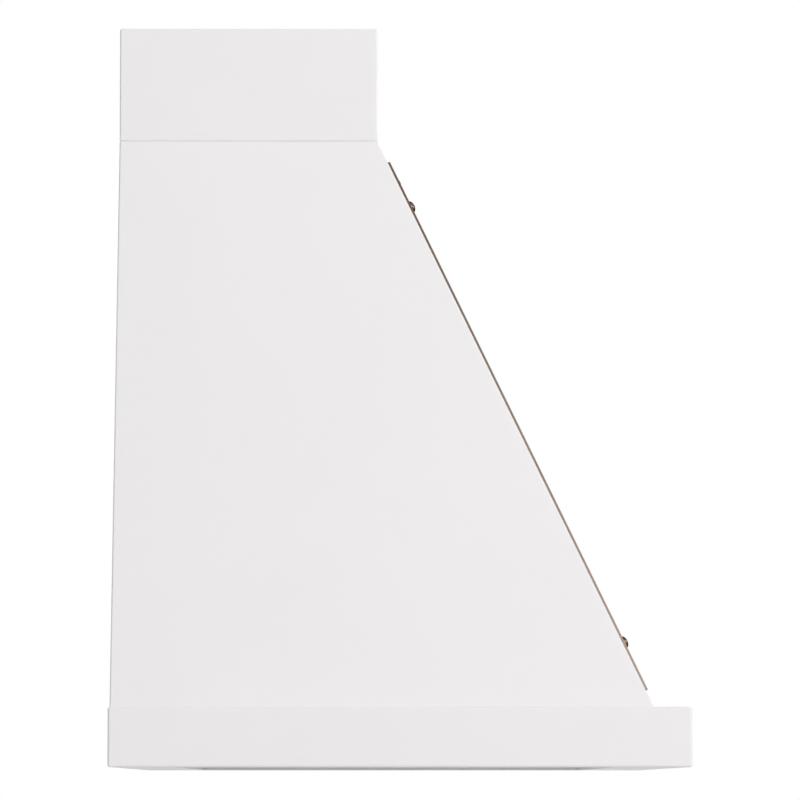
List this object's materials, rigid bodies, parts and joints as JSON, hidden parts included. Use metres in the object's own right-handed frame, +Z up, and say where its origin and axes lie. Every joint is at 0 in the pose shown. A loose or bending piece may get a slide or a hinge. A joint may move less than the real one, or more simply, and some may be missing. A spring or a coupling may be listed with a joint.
{
  "type": "range hood",
  "caption": "Wall-hung range hood: tapered white canopy with bronze straps, deep apron, chimney collar, baffle filters, recessed controls and a ducted blower with damper.",
  "frame": {"origin": "middle of the hood's lower back edge, on the wall plane", "axes": "+X to the right seen from the room, -Y out of the wall into the room, +Z up"},
  "size_m": [0.914, 0.578, 0.7646],
  "materials": {
    "white_paint": "satin white powder coat",
    "galvanised_steel": "zinc-coated sheet",
    "bronze": "oil-rubbed bronze",
    "stainless_steel": "brushed",
    "bright_steel": "bright zinc plate",
    "cast_aluminium": "as cast",
    "lamp_lens": "frosted",
    "black_plastic": "fine texture",
    "motor_enamel": "satin enamel"
  },
  "bodies": {
    "hood": {"apron_front": "white_paint", "apron_left": "white_paint", "apron_rear": "white_paint", "apron_right": "white_paint", "back_panel": "galvanised_steel", "blower_bracket": "galvanised_steel", "centre_rail": "stainless_steel", "chimney_collar": "white_paint", "collar_screws": "bright_steel", "control_panel": "stainless_steel", "damper_rod": "bright_steel", "duct_collar": "galvanised_steel", "duct_flange": "galvanised_steel", "fan_switch": "black_plastic", "filter_clips": "stainless_steel", "front_panel": "white_paint", "junction_box": "galvanised_steel", "junction_cover": "galvanised_steel", "lamp_bezel_left": "stainless_steel", "lamp_bezel_right": "stainless_steel", "lamp_body_left": "cast_aluminium", "lamp_body_right": "cast_aluminium", "lamp_lens_left": "lamp_lens", "lamp_lens_right": "lamp_lens", "left_side_panel": "white_paint", "light_switch": "black_plastic", "liner_front": "stainless_steel", "liner_left": "stainless_steel", "liner_rear": "stainless_steel", "liner_right": "stainless_steel", "lower_mounting_rail": "galvanised_steel", "motor": "motor_enamel", "motor_spider": "galvanised_steel", "outlet_adapter": "galvanised_steel", "right_side_panel": "white_paint", "run_capacitor": "black_plastic", "scroll_side_left": "galvanised_steel", "scroll_side_right": "galvanised_steel", "scroll_wrap": "galvanised_steel", "strap_cross": "bronze", "strap_left": "bronze", "strap_right": "bronze", "strap_rivets": "bronze", "top_plate": "white_paint", "upper_mounting_rail": "galvanised_steel"},
    "fan": {"fan_wheel": "galvanised_steel", "motor_shaft": "bright_steel"},
    "damper_front": {"damper_flap_front": "galvanised_steel"},
    "damper_rear": {"damper_flap_rear": "galvanised_steel"},
    "filter_left": {"filter_frame_left": "stainless_steel", "filter_baffles_left": "stainless_steel", "filter_handle_left": "stainless_steel"},
    "filter_right": {"filter_frame_right": "stainless_steel", "filter_baffles_right": "stainless_steel", "filter_handle_right": "stainless_steel"},
    "fan_control": {"fan_knob": "black_plastic", "fan_spindle": "bright_steel"},
    "light_control": {"light_knob": "black_plastic", "light_spindle": "bright_steel"}
  },
  "joints": [
    {"name": "fan_spin", "type": "hinge", "parent": "hood", "child": "fan", "pos_m": [0, -0.23608, 0.285], "axis": [1, 0, 0], "continuous": true},
    {"name": "damper_front_swing", "type": "hinge", "parent": "hood", "child": "damper_front", "pos_m": [0, -0.1334, 0.6711], "axis": [-1, 0, 0], "range_deg": [0, 80]},
    {"name": "damper_rear_swing", "type": "hinge", "parent": "hood", "child": "damper_rear", "pos_m": [0, -0.1334, 0.6711], "axis": [1, 0, 0], "range_deg": [0, 80]},
    {"name": "filter_left_drop", "type": "hinge", "parent": "hood", "child": "filter_left", "pos_m": [-0.194, -0.107, 0.039], "axis": [1, 0, 0], "range_deg": [0, 80]},
    {"name": "filter_right_drop", "type": "hinge", "parent": "hood", "child": "filter_right", "pos_m": [0.194, -0.107, 0.039], "axis": [1, 0, 0], "range_deg": [0, 80]},
    {"name": "fan_knob_turn", "type": "hinge", "parent": "hood", "child": "fan_control", "pos_m": [-0.045, -0.4525, 0.028], "axis": [0, 0, 1], "range_deg": [0, 270]},
    {"name": "light_knob_turn", "type": "hinge", "parent": "hood", "child": "light_control", "pos_m": [0.045, -0.4525, 0.028], "axis": [0, 0, 1], "range_deg": [0, 270]}
  ]
}
